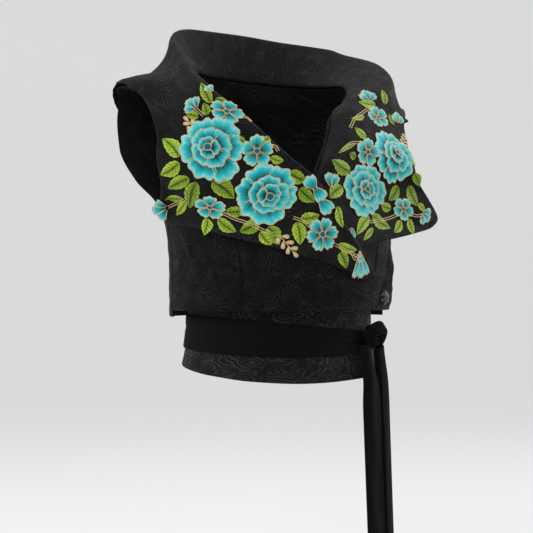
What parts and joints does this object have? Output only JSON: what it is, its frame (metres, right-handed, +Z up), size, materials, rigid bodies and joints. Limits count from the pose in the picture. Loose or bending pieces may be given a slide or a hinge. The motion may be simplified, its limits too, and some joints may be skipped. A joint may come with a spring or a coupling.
{
  "type": "embroidered wrap waistcoat",
  "caption": "Cropped sleeveless wrap waistcoat of black relief jacquard with a wide shawl collar covered in turquoise floral embroidery, a metal button, a belt band and a tied crepe sash.",
  "frame": {"origin": "centre of the neck opening at the height where the collar meets the neck, where a stand or shoulders would hold the garment", "axes": "+Z up through the neck, -Y out of the front, +X towards the wearer's left"},
  "size_m": [0.4139, 0.2623, 0.7179],
  "materials": {
    "jacquard": "soft sheen",
    "crepe": "matte crepe",
    "button_metal": "aged relief",
    "turquoise_silk": "satin stitch",
    "leaf_silk": "satin stitch"
  },
  "bodies": {
    "root": {"back": "jacquard", "right_side_front": "jacquard", "right_centre_front": "jacquard", "left_side_front": "jacquard", "left_centre_front": "jacquard", "collar": "jacquard", "belt_band": "jacquard", "sash": "crepe", "sash_knot": "crepe", "sash_tail_front": "crepe", "sash_tail_back": "crepe", "button": "button_metal", "bud_1": "turquoise_silk", "bud_2": "turquoise_silk", "bud_3": "turquoise_silk", "bud_4": "turquoise_silk", "bud_5": "turquoise_silk", "bud_6": "turquoise_silk", "flower_1": "turquoise_silk", "flower_2": "turquoise_silk", "flower_3": "turquoise_silk", "flower_4": "turquoise_silk", "flower_5": "turquoise_silk", "flower_6": "turquoise_silk", "flower_7": "turquoise_silk", "leaf_far_1": "leaf_silk", "leaf_far_2": "leaf_silk", "leaf_far_3": "leaf_silk", "leaf_far_4": "leaf_silk", "leaf_far_5": "leaf_silk", "leaf_far_6": "leaf_silk", "leaf_far_7": "leaf_silk", "leaf_far_8": "leaf_silk", "leaf_far_9": "leaf_silk", "leaf_near_1": "leaf_silk", "leaf_near_10": "leaf_silk", "leaf_near_11": "leaf_silk", "leaf_near_12": "leaf_silk", "leaf_near_13": "leaf_silk", "leaf_near_14": "leaf_silk", "leaf_near_15": "leaf_silk", "leaf_near_16": "leaf_silk", "leaf_near_17": "leaf_silk", "leaf_near_2": "leaf_silk", "leaf_near_3": "leaf_silk", "leaf_near_4": "leaf_silk", "leaf_near_5": "leaf_silk", "leaf_near_6": "leaf_silk", "leaf_near_7": "leaf_silk", "leaf_near_8": "leaf_silk", "leaf_near_9": "leaf_silk", "rose_1": "turquoise_silk", "rose_2": "turquoise_silk", "rose_3": "turquoise_silk", "rose_4": "turquoise_silk"}
  },
  "joints": []
}
